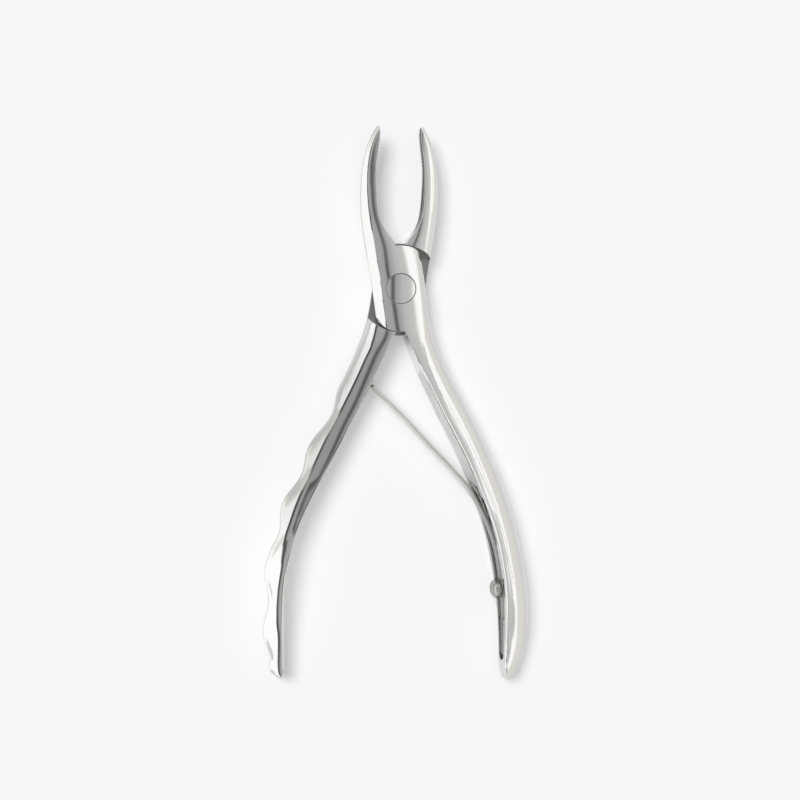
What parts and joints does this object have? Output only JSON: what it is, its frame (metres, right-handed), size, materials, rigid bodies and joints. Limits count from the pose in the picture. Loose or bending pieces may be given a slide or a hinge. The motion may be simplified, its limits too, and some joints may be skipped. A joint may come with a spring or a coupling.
{
  "type": "dental extraction forceps",
  "caption": "Spring-opened forceps for drawing milk teeth: crossed halves on a flush rivet, cupped toothed beaks, a straight handle and a finger-hollowed one, held apart by a leaf spring.",
  "frame": {"origin": "where the joint rivet's axis meets the flat back of the joint", "axes": "+Z along the rivet's axis, from the joint's back to its front; +Y towards the beaks; +X towards the straight handle's side"},
  "size_m": [0.062, 0.1283, 0.0108],
  "materials": {
    "front_half_steel": "polished stainless steel",
    "back_half_steel": "polished stainless steel",
    "rivet_steel": "polished stainless steel, ground flush",
    "spring_steel": "satin spring steel",
    "screw_steel": "polished stainless steel"
  },
  "bodies": {
    "back_half": {"back_half": "back_half_steel", "joint_rivet": "rivet_steel"},
    "front_half": {"front_half": "front_half_steel", "leaf_spring": "spring_steel", "spring_screw": "screw_steel"}
  },
  "joints": [
    {"name": "joint_hinge", "type": "hinge", "parent": "back_half", "child": "front_half", "pos_m": [0, 0, 0.004], "axis": [0, 0, 1], "range_deg": [-14.8, 10], "stiffness_Nm_per_rad": 0.3, "deforming": ["leaf_spring"]}
  ]
}
